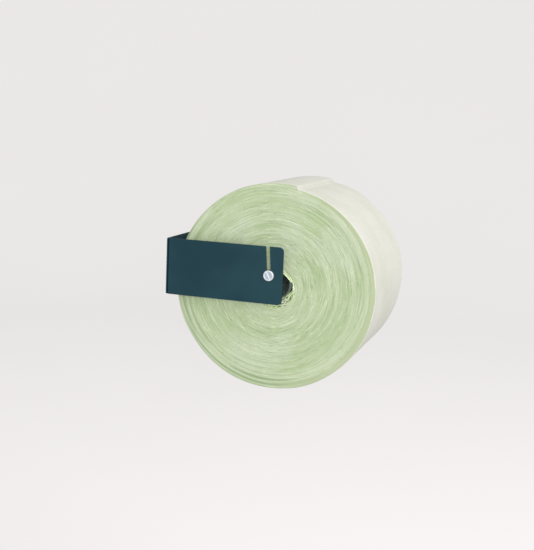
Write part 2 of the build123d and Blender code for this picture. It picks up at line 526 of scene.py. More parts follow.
class SharedEffects:
    """The node groups that several finishes use."""

    WOUND = ("Around", "Across", "Along", "Detail")  # how fast the streaks change each way

    def __init__(self) -> None:
        """Builds each group once."""
        self.wound = self._wound()
        self.peel = self._peel()

    @staticmethod
    def _start(name: str, inputs: Sequence[str], output: str) -> tuple[Wiring, Sequence, Socket]:
        """Makes a group with a vector, named values and one output.

        Args:
            name: the group's name.
            inputs: the names of its values.
            output: the output's name.

        Returns:
            Its wiring, what it is given and the socket for its result.
        """
        tree = bpy.data.node_groups.new(name, "ShaderNodeTree")
        tree.interface.new_socket(name="Vector", in_out="INPUT", socket_type="NodeSocketVector")
        for key in inputs:
            tree.interface.new_socket(name=key, in_out="INPUT", socket_type="NodeSocketFloat")
        tree.interface.new_socket(name=output, in_out="OUTPUT", socket_type="NodeSocketFloat")
        wiring = Wiring(tree)
        given = wiring.add("NodeGroupInput").outputs
        return wiring, given, wiring.add("NodeGroupOutput").inputs[0]

    def _wound(self) -> Tree:
        """Streaks that run round an axis along X, as on the end of a wound roll.

        Returns:
            The group, with the value of the streaks.
        """
        wiring, given, result = self._start("wound_streaks", self.WOUND, "Streaks")
        x, y, z = wiring.axes(given["Vector"])
        radius = wiring.math("MAXIMUM", wiring.radius(y, z), MM)
        cosine = wiring.times(wiring.math("DIVIDE", y, radius), given["Around"])
        sine = wiring.times(wiring.math("DIVIDE", z, radius), given["Around"])
        depth, length = wiring.times(radius, given["Across"]), wiring.times(x, given["Along"])
        place = wiring.add(
            "ShaderNodeCombineXYZ", X=cosine, Y=sine, Z=wiring.math("ADD", depth, length)
        )
        wiring.feed(result, wiring.noise(place.outputs[0], 1.0, given["Detail"]))
        return wiring.tree

    def _peel(self) -> Tree:
        """The fine uneven surface of a sprayed or moulded finish.

        Returns:
            The group, with the surface's height.
        """
        wiring, given, result = self._start("fine_peel", ("Scale",), "Height")
        broad = wiring.noise(given["Vector"], given["Scale"], 1.0)
        fine = wiring.noise(given["Vector"], wiring.times(given["Scale"], 3.7))
        wiring.feed(result, wiring.math("MULTIPLY_ADD", fine, 0.3, broad))
        return wiring.tree


@dataclass(frozen=True)
class Finish:
    """A finish: the shared groups, a name and the settings that are the same all over."""

    effects: SharedEffects
    name: str
    metallic: float = 0.0
    specular: float = 0.5
    centre: Point = (0.0, 0.0, 0.0)


class Canvas(Wiring):
    """The wiring of one finish's material, with coordinates centred on its axis."""

    def __init__(self, finish: Finish) -> None:
        """Starts the material.

        Args:
            finish: the finish that it is for.
        """
        self.effects = finish.effects
        self.material = bpy.data.materials.new(finish.name)
        self.material.use_nodes = True
        super().__init__(self.material.node_tree)
        self.tree.nodes.clear()
        self.shader = self.add("ShaderNodeBsdfPrincipled", Metallic=finish.metallic)
        self.shader.inputs["Specular IOR Level"].default_value = finish.specular
        self.add("ShaderNodeOutputMaterial", Surface=self.shader.outputs[0])
        place = self.add("ShaderNodeTexCoord").outputs["Object"]
        offset = [-c for c in finish.centre]
        self.place = self.add("ShaderNodeMapping", Vector=place, Location=offset).outputs[0]

    def grain(self, scale: float, detail: float = 2.0) -> Socket:
        """A noise of one scale over the piece."""
        return self.noise(self.place, scale, detail)

    def group(self, tree: Tree, **inputs: float) -> Socket:
        """Places a shared group with its own values.

        Args:
            tree: the group.
            **inputs: its values by name.

        Returns:
            Its output.
        """
        node = self.add("ShaderNodeGroup", {"node_tree": tree}, Vector=self.place, **inputs)
        return node.outputs[0]

    def wound(self, *values: float) -> Socket:
        """Streaks round the axis, by their values in the group's order."""
        return self.group(self.effects.wound, **dict(zip(SharedEffects.WOUND, values)))

    def peel(self, scale: float) -> Socket:
        """The height of a fine peel of one scale."""
        return self.group(self.effects.peel, Scale=scale)

    def done(self, tone: Socket, rough: tuple, relief: tuple) -> Material:
        """Feeds the shader.

        Args:
            tone: the base colour.
            rough: what varies the roughness, by how much, and from what value.
            relief: the height, the bump's strength and its full depth.

        Returns:
            The material.
        """
        height, strength, depth = relief
        bump = self.add("ShaderNodeBump", Height=height, Strength=strength, Distance=depth)
        self.feed(self.shader.inputs["Base Color"], tone)
        self.feed(self.shader.inputs["Roughness"], self.math("MULTIPLY_ADD", *rough))
        self.feed(self.shader.inputs["Normal"], bump.outputs[0])
        return self.material


@dataclass(frozen=True)
class PowderCoat(Finish):
    """Dark blue-grey powder coat with a fine orange peel."""

    def make(self) -> Material:
        """Builds the material, with paler edges: rubbed wear and a painted highlight.

        Returns:
            The material.
        """
        on = Canvas(self)
        cloud = on.span(on.grain(9.0), 0.35, 0.65)
        speck = on.span(on.grain(1900.0, 1.0), 0.62, 0.75)
        edge = on.add("ShaderNodeAttribute", {"attribute_name": "edge_wear_and_highlight"}).outputs["Fac"]
        # paler bevel faces: partly rubbed wear, partly a painted highlight along the edges
        rubbed_and_highlit_edge = on.times(edge, on.span(on.grain(70.0), 0.4, 0.6))
        tone = on.lay(
            on.mix(cloud, srgb(14, 55, 67), srgb(24, 65, 75)),
            (speck, 0.25, srgb(54, 86, 95)),
            (rubbed_and_highlit_edge, 0.35, srgb(74, 100, 106)),
        )
        peel = on.peel(620.0)
        return on.done(tone, (peel, 0.12, 0.42), (peel, 0.22, 0.00025))


@dataclass(frozen=True)
class ZincSteel(Finish):
    """Bright zinc-plated steel, turned marks round an axis along X."""

    head_radius: float = 0.0
    recess_x: float = 0.0

    def make(self) -> Material:
        """Builds the material; on a screw's head it paints a highlight into the slot and a darker
        reflection onto the flat face's half moons.

        Returns:
            The material.
        """
        on = Canvas(self)
        marks = on.wound(1.2, 3800.0, 900.0, 2.0)
        cloud = on.span(on.grain(260.0), 0.35, 0.7)
        tone = on.mix(marks, srgb(212, 222, 230), srgb(240, 247, 252))
        tone = on.lay(tone, (cloud, 0.3, srgb(214, 222, 228)))
        if self.head_radius:
            x, y, z = on.axes(on.place)
            inside = on.math("LESS_THAN", on.radius(y, z), self.head_radius)
            outer = on.math("GREATER_THAN", on.math("ABSOLUTE", x), self.recess_x)
            painted_dark_moon = on.times(inside, outer)
            # painted highlight: the slot floor inside the head is painted near white
            tone = on.mix(on.math("SUBTRACT", inside, painted_dark_moon), tone, srgb(248, 252, 255))
            # painted darker reflection: the flat face's half moons are painted greyer
            tone = on.lay(tone, (painted_dark_moon, 0.75, srgb(172, 188, 202)))
        return on.done(tone, (marks, 0.25, 0.3), (marks, 0.18, 0.0001))


@dataclass(frozen=True)
class Nylon(Finish):
    """Black moulded nylon."""

    def make(self) -> Material:
        """Builds the material.

        Returns:
            The material.
        """
        on = Canvas(self)
        cloud = on.span(on.grain(180.0, 3.0), 0.3, 0.7)
        tone = on.mix(cloud, srgb(22, 24, 26), srgb(40, 43, 45))
        peel = on.peel(1500.0)
        return on.done(tone, (peel, 0.15, 0.48), (peel, 0.15, 0.0001))


@dataclass(frozen=True)
class CoreBoard(Finish):
    """Pale grey board tube with a spiral seam and ends darkened by painted shade."""

    def make(self) -> Material:
        """Builds the material.

        Returns:
            The material.
        """
        on = Canvas(self)
        fibre = on.wound(6.0, 900.0, 700.0, 4.0)
        x, y, z = on.axes(on.place)
        turned = on.math("DIVIDE", on.math("ARCTAN2", z, y), math.tau)
        spiral = on.math("FRACT", on.math("MULTIPLY_ADD", x, 11.0, turned))
        seam = on.math("LESS_THAN", spiral, 0.03)
        # painted shade: the core's ends are darkened to merge with the shade inside the hole
        painted_shade_ends = on.span(on.math("ABSOLUTE", x), 0.1165, 0.1185)
        tone = on.lay(
            on.mix(on.span(fibre, 0.3, 0.7), srgb(190, 208, 203), srgb(208, 220, 213)),
            (seam, 0.6, srgb(84, 88, 80)),
            (painted_shade_ends, 0.85, srgb(70, 84, 80)),
        )
        return on.done(tone, (fibre, 0.1, 0.82), (on.math("SUBTRACT", fibre, seam), 0.5, 0.0003))


@dataclass(frozen=True)
class CrepeFace(Finish):
    """The wound edges of crepe paper at the roll's ends."""

    rim: float = 0.19

    def make(self) -> Material:
        """Builds the material, streaked round the roll's axis, with painted shade and painted light
        on its outer rim.

        Returns:
            The material.
        """
        on = Canvas(self)
        fibre = on.wound(7.0, 880.0, 90.0, 3.0)
        bands = on.wound(0.9, 95.0, 0.0, 5.0)
        lines = on.wound(0.9, 210.0, 0.0, 2.0)
        fleck = on.wound(26.0, 520.0, 60.0, 2.0)
        x, y, z = on.axes(on.place)
        share = on.math("DIVIDE", on.radius(y, z), self.rim)
        outer = on.times(on.span(share, 0.86, 0.92), on.span(lines, 0.5, 0.38))
        # painted shade: the outer rings towards +Y and -Z are darkened, on the side turned from the
        # key light
        lower = on.times(outer, on.span(on.math("SUBTRACT", y, z), -0.02, 0.12))
        # the side towards -Y, where the rim gets painted light and painted shade
        ahead = on.span(y, 0.02, -0.09)
        ragged = on.math("MULTIPLY_ADD", on.math("SUBTRACT", fleck, 0.5), 0.06, share)
        tone = on.lay(
            on.mix(on.span(bands, 0.25, 0.75), srgb(177, 197, 151), srgb(200, 214, 179)),
            (on.span(on.grain(13.0, 6.0), 0.46, 0.62), 0.6, srgb(205, 216, 190)),
            (on.span(fibre, 0.52, 0.64), 0.2, srgb(220, 231, 202)),
            (on.span(fibre, 0.47, 0.36), 0.24, srgb(160, 180, 138)),
            (on.span(fleck, 0.65, 0.72), 0.45, srgb(232, 240, 218)),
            (on.span(fleck, 0.34, 0.28), 0.5, srgb(136, 156, 112)),
            (on.span(on.grain(460.0), 0.5, 0.72), 0.3, srgb(164, 184, 142)),
            (on.contour(lines, 0.47, 0.020, 0.006), 0.5, srgb(148, 168, 126)),
            (on.contour(lines, 0.55, 0.018, 0.005), 0.55, srgb(226, 235, 208)),
            (lower, 0.75, srgb(146, 168, 128)),
            # painted light on the rim towards -Y, then painted shade along its ragged outer edge
            (on.times(on.span(share, 0.89, 0.93), ahead), 0.4, srgb(212, 222, 194)),
            (on.times(on.span(ragged, 0.952, 0.966), ahead), 0.5, srgb(172, 186, 142)),
            (on.span(share, 0.33, 0.22), 0.35, srgb(214, 224, 190)),
        )
        height = on.math("ADD", on.times(fibre, 0.35), on.times(lines, 1.8))
        return on.done(tone, (fibre, 0.12, 0.86), (height, 0.55, 0.0014))


@dataclass(frozen=True)
class CrepeSide(Finish):
    """The outside of a crepe paper sheet, with its ridges across the web and its perforations."""

    loose_end: float = 0.0  # degrees from +Y towards +Z
    sheet_turn: float = 114.6  # degrees of roll that one sheet covers

    def make(self) -> Material:
        """Builds the material.

        Returns:
            The material.
        """
        on = Canvas(self)
        crepe = on.wound(120.0, 0.0, 14.0, 3.0)
        x, y, z = on.axes(on.place)
        angle = on.math("SUBTRACT", on.math("ARCTAN2", z, y), math.radians(self.loose_end))
        sheets = on.math("DIVIDE", on.math("ADD", angle, math.tau), math.radians(self.sheet_turn))
        line = on.contour(on.math("FRACT", sheets), 0.5, 0.498, 0.4995)
        dash = on.math("GREATER_THAN", on.math("FRACT", on.times(x, 160.0)), 0.3)
        inside = on.math("GREATER_THAN", on.math("ABSOLUTE", angle), 0.05)
        holes = on.times(on.times(on.times(line, dash), inside), 0.3)
        cloud = on.span(on.grain(13.0, 4.0), 0.3, 0.7)
        tone = on.mix(cloud, srgb(226, 227, 215), srgb(234, 234, 225))
        tone = on.lay(tone, (on.span(crepe, 0.5, 0.3), 0.22, srgb(206, 214, 188)))
        tone = on.mix(holes, tone, srgb(180, 190, 164))
        return on.done(tone, (crepe, 0.1, 0.88), (on.math("SUBTRACT", crepe, holes), 0.3, 0.0006))


@dataclass(frozen=True)
class CrepePly(Finish):
    """Loose crumpled plies of the same paper."""

    def make(self) -> Material:
        """Builds the material, with painted shade in its creases.

        Returns:
            The material.
        """
        on = Canvas(self)
        crease = on.grain(210.0, 4.0)
        tone = on.mix(on.span(on.grain(60.0), 0.35, 0.65), srgb(222, 243, 192), srgb(244, 252, 226))
        # painted shade: darker where the crease noise is low, in the folds
        tone = on.lay(tone, (on.span(crease, 0.45, 0.3), 0.5, srgb(176, 192, 152)))
        return on.done(tone, (crease, 0.1, 0.86), (crease, 0.5, 0.0008))


def box_centre(node: str) -> Point:
    """The middle of a CAD node's box."""
    low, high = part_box(node)
    return tuple((low + high) / 2)


def box_radius(node: str) -> float:
    """Half the height of a CAD node's box: a round node's radius."""
    low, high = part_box(node)
    return (high.z - low.z) / 2


class Palette:
    """All the finishes of the holder and its roll."""

    def __init__(self, axle: Point, roll: Point, loose_end: float, sheet_turn: float) -> None:
        """Builds the materials.

        Args:
            axle: a point on the spindle's axis.
            roll: a point on the paper's axis.
            loose_end: the loose end's angle, in degrees from +Y towards +Z.
            sheet_turn: the degrees of roll that one sheet covers.
        """
        shared, paper = SharedEffects(), (0.0, 0.15, roll)
        board, rim = box_centre("roll_core"), box_radius("paper_roll")
        head = {"head_radius": 0.0073, "recess_x": 0.1504}
        self.coat = PowderCoat(shared, "powder_coat_blue_grey", 0.0, 0.28).make()
        self.zinc = ZincSteel(shared, "zinc_steel_turned", 0.9, centre=axle).make()
        self.head = ZincSteel(shared, "zinc_steel_head", 0.35, centre=axle, **head).make()
        self.nylon = Nylon(shared, "nylon_black").make()
        self.board = CoreBoard(shared, "core_board_spiral", 0.0, 0.2, board).make()
        self.face = CrepeFace(shared, "crepe_wound_edges", *paper, rim).make()
        self.side = CrepeSide(shared, "crepe_outside", *paper, loose_end, sheet_turn).make()
        self.ply = CrepePly(shared, "crepe_loose_plies", *paper).make()


@dataclass
class Assembly:
    """What every sub-assembly is given: the finishes and a point on the spindle's axis."""

    palette: Palette
    axle: Point


def hand_in(piece: Piece, body: str, slot: str, looks: Sequence[Material], *nodes: str) -> None:
    """Gives a finished piece its looks, its body and the CAD nodes it stands for.

    Args:
        piece: the finished object.
        body: the CAD body that it rides on.
        slot: not used.
        looks: its materials, in order.
        *nodes: the CAD nodes that it replaces.
    """
    for material in looks:
        piece.data.materials.append(material)
    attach(piece, body)
    if nodes:
        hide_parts(*nodes)
    LOG.info("%s rides on %s with %d faces", piece.name, body, len(piece.data.polygons))


def dress(material: Material, *nodes: str) -> None:
    """Gives CAD nodes that keep their shape a finish.

    Args:
        material: the finish.
        *nodes: the nodes.
    """
    for node in nodes:
        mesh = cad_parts[node].data
        mesh.materials.clear()
        mesh.materials.append(material)
        LOG.info("%s keeps its CAD shape, in %s", node, material.name)


# Holder


@dataclass
class SideArm(Assembly):
    """A side plate with a leaning slot, bent from a riveted flange."""

    sheet: float = 0.002
    bend: float = 0.004
    corner: float = 0.0085
    flange_corner: float = 0.003
    flange_width: float = 0.026
    slot_width: float = 0.0074
    slot_lean: float = 4.5  # degrees
    seat_drop: float = 0.003  # of the slot's round foot below the spindle's axis
    slot_top: float = 0.08  # above the arm's top edge
    cut_over: tuple[float, float] = (-0.002, 0.006)  # of the cutters past the sheet's outer face
    edge: float = 0.0003

    def build(self) -> None:
        """Builds the left arm and mirrors it for the right one."""
        left = self._bent_sheet()
        self._cut_slot(left)
        soften(left, self.edge, 50)
        for side, arm in both_ends(left):
            paint_edges(arm, self.edge)
            smooth_sheet(arm, 50)
            hand_in(arm, "bracket", "powder_coat", [self.palette.coat], f"arm_{side.word}")

    def _bent_sheet(self) -> Piece:
        """Bends the left arm from one flat sheet.

        Returns:
            The arm without its slot.
        """
        low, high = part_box("arm_left")
        foot, inside = high.y - self.bend, low.x + self.bend
        tip = low.x + self.flange_width
        middle = (low.x + self.sheet / 2, (low.y + foot) / 2, 0)
        clear()
        bpy.ops.mesh.primitive_plane_add(size=1, location=middle, rotation=(0, math.pi / 2, 0))
        bpy.context.object.scale = (high.z - low.z, foot - low.y, 1)
        arm = settle("side_arm_left")
        with shaping(arm):
            pick(Pick.VERTS, lambda at: near(at.y, low.y))
            round_corners(self.corner, 10)
            pick(Pick.EDGES, lambda at: near(at.y, foot))
            sweep_round(8, -90, (inside, foot, 0), (0, 0, 1))
            pull(tip - inside, 0, 0)
            pick(Pick.VERTS, lambda at: near(at.x, tip))
            round_corners(self.flange_corner, 6)
        face_outwards(arm)
        apply(arm, "SOLIDIFY", thickness=self.sheet, offset=0.0, use_even_offset=True)
        return arm

    def _cut_slot(self, arm: Piece) -> None:
        """Cuts the round seat and the leaning slot above it.

        Args:
            arm: the arm without its slot.
        """
        _, y, z = self.axle
        half, x = self.slot_width / 2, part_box("arm_left")[0].x
        start, stop = (x + over for over in self.cut_over)
        seat = [Ring(at, half, (y, z + half - self.seat_drop)) for at in (start, stop)]
        cut(arm, ring_stack("seat_cutter", seat, 40, Ends.CAPPED))
        sides = bar("slot_cutter", (start, y - half, z), (stop, y + half, self.slot_top))
        turn(sides, -self.slot_lean, self.axle)
        cut(arm, sides)


@dataclass
class BackPlate(Assembly):
    """The plate that lies on the panel, with its fixing holes and hook slots."""

    corner: float = 0.003
    screw_hole: float = 0.00275
    screw_spot: tuple[float, float] = (0.076, 0.038)
    sleeve_hole: float = 0.0049
    hook_sheet: float = 0.0022  # the height of a hook's slot, without its gap
    upper_drop: float = 0.002  # of an upper hook's slot from the hook's top
    lower_rise: float = 0.0065  # of a lower hook's slot from the hook's foot
    gap: float = 0.0002
    edge: float = 0.0003
    past: float = 0.002  # of the drills past the plate's faces

    def build(self) -> None:
        """Cuts the plate from one flat sheet."""
        low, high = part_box("back_plate")
        thick, middle = high.y - low.y, (0, (low.y + high.y) / 2, 0)
        clear()
        bpy.ops.mesh.primitive_plane_add(size=1, location=middle, rotation=(math.pi / 2, 0, 0))
        bpy.context.object.scale = (high.x - low.x, high.z - low.z, 1)
        plate = settle("mounting_plate")
        with shaping(plate):
            take_all()
            round_corners(self.corner, 6)
        thicken(plate, thick)
        across, up = self.screw_spot
        for x in (-across, across):
            for z in (-up, up):
                cut(plate, self._drill(x, z, self.screw_hole, low.y, high.y))
        for side in Side:
            foot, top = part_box(f"lock_sleeve_{side.word}")
            cut(plate, self._drill((foot.x + top.x) / 2, 0.0, self.sleeve_hole, low.y, high.y))
            for row in ("upper", "lower"):
                foot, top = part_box(f"hook_{row}_{side.word}")
                under = top.z - self.upper_drop if row == "upper" else foot.z + self.lower_rise
                start = (foot.x - self.gap, low.y - thick, under - self.gap)
                stop = (top.x + self.gap, high.y + thick, under + self.hook_sheet)
                cut(plate, bar("hook_cutter", start, stop))
        soften(plate, self.edge, 50)
        face_outwards(plate)
        paint_edges(plate, self.edge)
        smooth_sheet(plate, 50)
        hand_in(plate, "bracket", "powder_coat", [self.palette.coat], "back_plate")

    def _drill(self, x: float, z: float, radius: float, rear: float, front: float) -> Piece:
        """Makes a round cutter through the plate.

        Args:
            x: the hole's place across.
            z: the hole's height.
            radius: the hole's radius.
            rear: one face of the plate.
            front: the other face.

        Returns:
            The cutter.
        """
        clear()
        bpy.ops.mesh.primitive_circle_add(
            vertices=40,
            radius=radius,
            fill_type="NGON",
            location=(x, rear - self.past, z),
            rotation=(math.pi / 2, 0, 0),
        )
        drill = settle("drill")
        with shaping(drill):
            take_all()
            pull(0, front - rear + 2 * self.past, 0)
        face_outwards(drill)
        return drill


@dataclass
class EndScrew(Assembly):
    """A slotted end screw: thread, shoulder and a wide head with a bright rim."""

    thread: float = 0.0024
    shoulder: float = 0.0027
    head: float = 0.00975
    under_head: float = 0.0036  # from the head's face
    shoulder_end: float = 0.0074
    slot_width: float = 0.0021
    slot_depth: float = 0.0008
    slot_turn: float = 62.0  # degrees
    cutter_reach: float = 0.02
    edge: float = 0.00012
    segments: int = 96

    def build(self) -> None:
        """Builds one screw and mirrors it for the other end."""
        low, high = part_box("end_screw_left")
        _, y, z = self.axle
        rings = [Ring(x, radius, (y, z)) for x, radius in self._profile(low.x, high.x)]
        left = ring_stack("end_screw_cap_left", rings, self.segments, Ends.CAPPED)
        half, reach = self.slot_width / 2, self.cutter_reach
        start = (low.x - 0.002, y - reach, -half)
        tool = bar("driver_cutter", start, (low.x + self.slot_depth, y + reach, half))
        turn(tool, self.slot_turn, self.axle)
        cut(left, tool)
        soften(left, self.edge, 55)
        for side, screw in both_ends(left):
            smooth_sheet(screw, 40)
            hand_in(screw, "spindle", "zinc_steel", [self.palette.head], f"end_screw_{side.word}")

    def _profile(self, face: float, tip: float) -> list[tuple[float, float]]:
        """The screw's outline, from its tip to the middle of its head.

        Args:
            face: the head's outer face.
            tip: the thread's end.

        Returns:
            The x and radius of each ring.
        """
        under, end = face + self.under_head, face + self.shoulder_end
        body = [
            (tip, self.thread * 0.7), (tip - 0.0007, self.thread), (end, self.thread),
            (end, self.shoulder), (under, self.shoulder), (under, self.head - 0.0005),
            (under - 0.0002, self.head - 0.0001), (under - 0.0006, self.head),
        ]
        rim = (
            (0.0012, 0.0), (0.0006, 0.00022), (0.0002, 0.0007), (0.0, 0.0014),
            (0.00002, 0.0021), (0.0003, 0.0026), (0.0004, 0.0034),
        )
        dish = [(face + 0.0003, self.head * 0.3), (face + 0.00025, 0.0004)]
        return [*body, *((face + depth, self.head - inset) for depth, inset in rim), *dish]


@dataclass
class Fittings(Assembly):
    """The CAD nodes whose shape is right, in their finishes."""

    def build(self) -> None:
        """Gives each kept CAD node its material."""
        for side in Side:
            for stem in ("arm_rivets", "end_plug", "hook_upper", "hook_lower"):
                dress(self.palette.zinc, f"{stem}_{side.word}")
            for stem in ("lock_sleeve", "lock_pin", "washer"):
                dress(self.palette.nylon, f"{stem}_{side.word}")
        dress(self.palette.zinc, "hook_rivets", "spindle_tube")


# Roll


@dataclass(frozen=True)
class Dent:
    """A shallow hollow in the wound face."""

    angle: float
    radius: float
    size: float
    depth: float

    def depth_at(self, angle: float, radius: float) -> float:
        """How deep it is at a place on the face.

        Args:
            angle: the place's angle.
            radius: its distance from the axis.

        Returns:
            The depth.
        """
        along = self.radius * math.remainder(angle - self.angle, math.tau) * 0.6
        gap = math.hypot(radius - self.radius, along)
        return self.depth * math.exp(-((gap / self.size) ** 2))


@dataclass
class PaperRoll(Assembly):
    """The wound paper, its last sheet, its loose inner plies and its core."""

    segments: int = 288
    face_rings: int = 72
    side_rings: int = 30
    rim_round: float = 0.0018
    sag: Spot = (-0.0014, -0.0018)  # how far the outer plies have settled
    mouth_radius: float = 0.0365  # of the hole in the paper's ends
    mouth_shift: Spot = (-0.0031, -0.0006)  # of its centre from the paper's
    bore: tuple[tuple[float, float], ...] = (
        (0.024, 0.35), (0.014, 0.75), (0.006, 0.95), (0.0015, 1.0),
    )
    layer: float = 0.003
    step_dip: float = 0.0034  # the plies just past the loose end lie lower
    sheet_turn: float = 114.6  # degrees, as are the other turns and angles
    loose_end: float = 101.5
    core_wall: float = 0.0025
    core_soft: float = 0.0005  # of the rounding of its ends
    core_sunk: float = 0.006  # how much deeper the worn core's ends lie
    plies: int = 6
    ply_rows: int = 7
    ply_depth: float = 0.020
    ply_thickness: float = 0.0007
    flap_start: float = 128.0
    flap_turn: float = 42.0
    flap_width: float = 0.009
    dent_count: int = 26
    seed: int = 11

    def __post_init__(self) -> None:
        """Reads the roll's place and sizes from the frame, and draws its dents."""
        self.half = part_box("paper_roll")[1].x
        self.radius = box_radius("paper_roll")
        _, y, z = box_centre("paper_roll")
        self.axis = (y + self.sag[0], z + self.sag[1])
        self.core_axis = box_centre("roll_core")[1:]
        self.core_radius = box_radius("roll_core")
        self.mouth_axis = tuple(at + shift for at, shift in zip(self.axis, self.mouth_shift))
        self.flap_x = -self.half + 0.002
        span = random.Random(self.seed).uniform
        self.dents = [
            Dent(span(0, math.tau), span(0.06, 0.175), span(0.006, 0.016), span(0.4, 1.3) * MM)
            for _ in range(self.dent_count)
        ]

    def build(self) -> None:
        """Builds and hands in every piece of the roll."""
        self._body()
        self._last_sheet()
        for side in Side:
            self._inner_plies(side)
            self._curled_flap(side)
        self._core()

    def _end_rings(self, count: int) -> list[Ring]:
        """The rings of one end, from the bore out to the rim, for the low side of X.

        Args:
            count: rings across the flat face.

        Returns:
            The rings in order.
        """
        x, inner = -self.half, self.core_radius + 0.0001
        rings = [Ring(x + 0.034, inner, self.core_axis)]
        for depth, share in self.bore:
            centre = between(self.core_axis, self.mouth_axis, share)
            rings.append(Ring(x + depth, inner + (self.mouth_radius - inner) * share, centre))
        start, stop = self.mouth_radius + 0.001, self.radius - self.rim_round
        for step in range(count + 1):
            share = step / count
            centre = between(self.mouth_axis, self.axis, min(1.0, share * 2.2))
            rings.append(Ring(x, start + (stop - start) * share, centre))
        for step in range(1, 5):
            turned = math.radians(22.5 * step)
            drop = self.rim_round * (1 - math.cos(turned))
            rings.append(Ring(x + drop, stop + self.rim_round * math.sin(turned), self.axis))
        return rings

    def _spiral(self, angle: float) -> float:
        """How far the winding has grown beyond its least radius at an angle.

        Args:
            angle: from +Y towards +Z, in radians.

        Returns:
            The growth, which is least just past the loose end and most where the last sheet starts.
        """
        past = (math.degrees(angle) - self.loose_end) % 360
        bare = 360 - self.sheet_turn
        share = past / bare if past < bare else (360 - past) / self.sheet_turn
        dip = self.step_dip * math.exp(-past / 20)
        return (self.layer - 0.0003) * (1 - (1 - share) ** 1.8) - dip

    def _relief(self, place: Vector) -> Vector:
        """Gives the wound paper its ridges, uneven plies, dents and hand-wound outline.

        Args:
            place: a vertex of the even shape.

        Returns:
            Its new place.
        """
        y, z = place.y - self.axis[0], place.z - self.axis[1]
        radius, angle, c, s = polar(place, self.axis)
        side = 1.0 if place.x > 0 else -1.0
        if abs(place.x) > self.half - 0.002 and radius > 0.034:
            rings = 0.55 * noise.noise(Vector((c * 0.7, s * 0.7, radius * 260 + side * 9)))
            wide = 0.9 * noise.noise(Vector((c * 1.1, s * 1.1, radius * 34 + side * 5)))
            fine = 0.35 * noise.noise(Vector((c * 7, s * 7, radius * 420)))
            hollow = 1.1 * max(0.0, (radius / self.radius - 0.93) / 0.07) * max(0.0, -c)
            inward = (rings + wide + fine + hollow) * MM
            for dent in self.dents:
                inward += dent.depth_at(angle, radius) * (1 if side < 0 else 0.6)
            place.x -= side * inward
        grow = 1.0
        if radius > self.radius - 0.006:
            lumps = 0.7 * noise.noise(Vector((c * 2.4, s * 2.4, place.x * 6)))
            lumps += 0.25 * noise.noise(Vector((c * 9, s * 9, place.x * 14)))
            grow = 1 + ((lumps + 0.5) * MM + self._spiral(angle)) / radius
        elif radius < 0.06 and abs(place.x) > self.half - 0.02:
            lumps = 1.3 * noise.noise(Vector((c * 2.6, s * 2.6, place.x * 60)))
            fade = max(0.0, 1 - (radius - 0.034) / 0.026)
            grow = 1 + max(0.0, lumps) * fade * MM / radius
        return Vector((place.x, self.axis[0] + y * grow, self.axis[1] + z * grow))

    def _body(self) -> None:
        """Builds the wound paper."""
        near_end = self._end_rings(self.face_rings)
        back = reversed(self._end_rings(self.face_rings // 2))
        far_end = [Ring(-ring.x, ring.radius, ring.centre) for ring in back]
        inset = self.half - self.rim_round
        step = 2 * inset / self.side_rings
        side = [Ring(-inset + step * i, self.radius, self.axis) for i in range(1, self.side_rings)]
        rings = [*near_end, *side, *far_end, near_end[0]]
        body = ring_stack("wound_paper", rings, self.segments, Ends.LOOP)
        reshape(body, self._relief)
        smooth(body, 60)
        looks = [self.palette.face, self.palette.side]
        hand_in(body, "roll", "crepe_paper", looks, "paper_roll")
        for face in body.data.polygons:
            far = polar(face.center, self.axis)[0]
            face.material_index = int(far > self.radius * 0.9 and abs(face.normal.x) < 0.75)

    @staticmethod
    def _swept(
        name: str, middle: Point, width: float, grid: tuple[int, int], turn: float, axis: Spot
    ) -> Piece:
        """Sweeps a line along X round an axis into a sheet.

        Args:
            name: the sheet's name.
            middle: the line's middle.
            width: the line's length.
            grid: cuts across the sheet, and steps along it.
            turn: the sweep in degrees.
            axis: the axis's y and z.

        Returns:
            The sheet, without thickness.
        """
        cuts, steps = grid
        clear()
        bpy.ops.mesh.primitive_plane_add(size=width, location=middle)
        sheet = settle(name)
        with shaping(sheet):
            pick(Pick.VERTS, lambda at: at.y > middle[1])
            bpy.ops.mesh.delete(type="VERT")
            take_all()
            bpy.ops.transform.translate(value=(0, width / 2, 0))
            bpy.ops.mesh.subdivide(number_cuts=cuts)
            take_all()
            sweep_round(steps, turn, (0, *axis))
        return sheet

    def _last_sheet(self) -> None:
        """Lays the last sheet round the roll, thin at its start and stepped at its loose end."""
        outer = self.radius + self.layer
        start = math.radians(self.loose_end - self.sheet_turn)
        spot = (0, self.axis[0] + outer * math.cos(start), self.axis[1] + outer * math.sin(start))
        width, grid = 2 * self.half, (63, 120)
        sheet = self._swept("last_sheet", spot, width, grid, self.sheet_turn, self.axis)
        face_outwards(sheet)
        self._turn_outside_out(sheet)
        group = sheet.vertex_groups.new(name="thickness")
        for vertex in sheet.data.vertices:
            taper = self._lay(vertex.co, start)
            group.add([vertex.index], max(0.08, taper), "REPLACE")
        thickness = {"thickness": self.layer, "vertex_group": group.name}
        apply(sheet, "SOLIDIFY", offset=-1.0, use_rim=True, **thickness)
        smooth(sheet, 50)
        looks = [self.palette.side, self.palette.face]
        hand_in(sheet, "roll", "crepe_paper", looks, "outer_sheet")
        for face in sheet.data.polygons:
            face.material_index = int(abs(face.normal.x) > 0.6)

